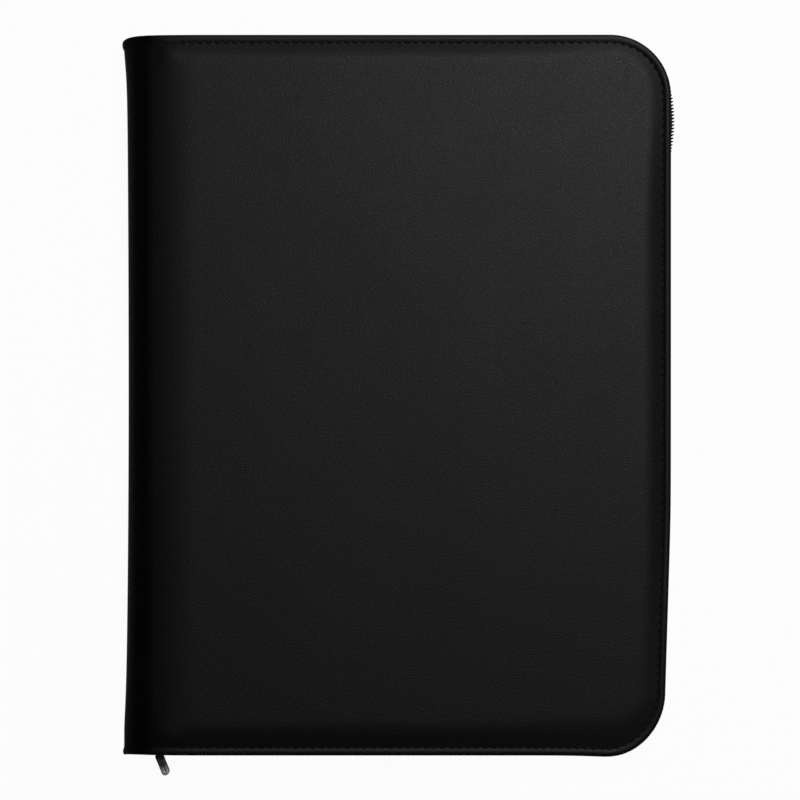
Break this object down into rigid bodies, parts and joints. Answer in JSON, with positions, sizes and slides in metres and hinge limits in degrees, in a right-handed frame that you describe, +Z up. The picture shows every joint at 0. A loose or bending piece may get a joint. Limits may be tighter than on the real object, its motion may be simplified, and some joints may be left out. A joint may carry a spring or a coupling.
{
  "type": "zippered padfolio",
  "caption": "Zippered padfolio in black grained leather: two padded covers folding on a soft spine, an edge zip with slider and pull, a writing pad, a pen loop and pockets inside.",
  "frame": {"origin": "middle of the back cover's flat outer face, which is the face the case lies on", "axes": "+X from the spine to the free edge, +Y from the tail to the head, +Z up through the front cover"},
  "size_m": [0.2543, 0.345, 0.024],
  "materials": {
    "leather": "fine pebble grain, satin",
    "foam": "thin padding",
    "board": "grey board",
    "lining": "plain weave, matte",
    "zip_tape": "herringbone weave",
    "zip_teeth": "smooth",
    "metal": "dark enamel, satin",
    "paper": "uncoated",
    "card": "grey board",
    "binding": "book cloth",
    "elastic": "ribbed elastic"
  },
  "bodies": {
    "back_cover": {"back_leather": "leather", "back_foam": "foam", "back_board": "board", "back_lining": "lining", "back_zip_tape": "zip_tape", "back_zip_coil": "zip_teeth", "back_top_stop": "metal", "zip_bottom_stop": "metal", "pad_sleeve": "lining", "pad_card": "card", "pad_sheets": "paper", "pad_binding": "binding", "pen_loop": "elastic"},
    "spine": {"spine_leather": "leather", "spine_stiffener": "board", "spine_lining": "lining"},
    "front_cover": {"front_leather": "leather", "front_foam": "foam", "front_board": "board", "front_lining": "lining", "front_zip_tape": "zip_tape", "front_zip_coil": "zip_teeth", "front_top_stop": "metal", "document_pocket": "lining", "card_pocket_upper": "lining", "card_pocket_middle": "lining", "card_pocket_lower": "lining"},
    "slider": {"slider_body": "metal", "slider_crown": "metal"},
    "pull": {"zip_pull": "metal"}
  },
  "joints": [
    {"name": "spine_fold", "type": "hinge", "parent": "back_cover", "child": "spine", "pos_m": [-0.12437, 0, 0.00163], "axis": [0, -1, 0], "range_deg": [0, 90]},
    {"name": "cover_fold", "type": "hinge", "parent": "spine", "child": "front_cover", "pos_m": [-0.12437, 0, 0.02237], "axis": [0, -1, 0], "range_deg": [0, 90]},
    {"name": "slider_run", "type": "slide", "parent": "back_cover", "child": "slider", "axis": [1, 0, 0], "range_m": [0, 0.2]},
    {"name": "pull_swing", "type": "hinge", "parent": "slider", "child": "pull", "pos_m": [-0.1135, -0.1661, 0.012], "axis": [0, 0, 1], "range_deg": [-82, 38]}
  ]
}
